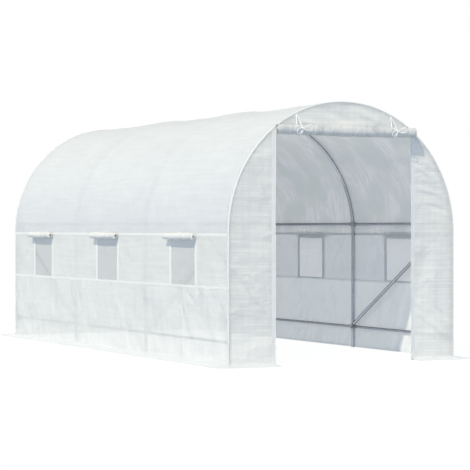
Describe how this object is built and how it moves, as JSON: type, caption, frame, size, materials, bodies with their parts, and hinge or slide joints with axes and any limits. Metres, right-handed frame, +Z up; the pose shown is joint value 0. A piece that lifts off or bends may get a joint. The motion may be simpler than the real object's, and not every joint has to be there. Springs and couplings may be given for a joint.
{
  "type": "polytunnel greenhouse",
  "caption": "Walk-in polytunnel greenhouse: tube hoops with rails and diagonal braces under a white woven film cover, netted side windows with rolled-up flaps and a rolled-up door.",
  "frame": {"origin": "on the ground at the middle of the tunnel", "axes": "+Z up from the ground, +Y from the door end to the back end along the tunnel, +X to the right as seen from in front of the door"},
  "size_m": [2.3, 4.8, 1.9998],
  "materials": {
    "galvanised_tube": "galvanised steel tube, satin",
    "zinc_fitting": "pressed zinc-plated steel",
    "cover_film": "woven reinforced film, translucent white",
    "rolled_film": "rolled woven film, translucent white",
    "insect_net": "fine woven net",
    "white_tape": "woven tape"
  },
  "bodies": {
    "root": {"front_hoop_legs": "galvanised_tube", "front_hoop_arcs": "galvanised_tube", "second_hoop_legs": "galvanised_tube", "second_hoop_arcs": "galvanised_tube", "third_hoop_legs": "galvanised_tube", "third_hoop_arcs": "galvanised_tube", "back_hoop_legs": "galvanised_tube", "back_hoop_arcs": "galvanised_tube", "ridge_rails": "galvanised_tube", "left_side_rails": "galvanised_tube", "right_side_rails": "galvanised_tube", "left_base_rails": "galvanised_tube", "right_base_rails": "galvanised_tube", "left_front_brace": "galvanised_tube", "left_back_brace": "galvanised_tube", "right_front_brace": "galvanised_tube", "right_back_brace": "galvanised_tube", "ridge_fittings": "zinc_fitting", "left_side_fittings": "zinc_fitting", "right_side_fittings": "zinc_fitting", "left_base_fittings": "zinc_fitting", "right_base_fittings": "zinc_fitting", "roof_cover": "cover_film", "left_window_band": "cover_film", "right_window_band": "cover_film", "left_lower_wall": "cover_film", "right_lower_wall": "cover_film", "front_left_panel": "cover_film", "front_right_panel": "cover_film", "front_lunette": "cover_film", "back_panel": "cover_film", "left_skirt": "cover_film", "right_skirt": "cover_film", "front_skirts": "cover_film", "back_skirt": "cover_film", "left_window_screens": "insect_net", "right_window_screens": "insect_net", "left_front_window_roll": "rolled_film", "left_middle_window_roll": "rolled_film", "left_back_window_roll": "rolled_film", "right_front_window_roll": "rolled_film", "right_middle_window_roll": "rolled_film", "right_back_window_roll": "rolled_film", "door_roll": "rolled_film", "door_ties": "white_tape"}
  },
  "joints": []
}
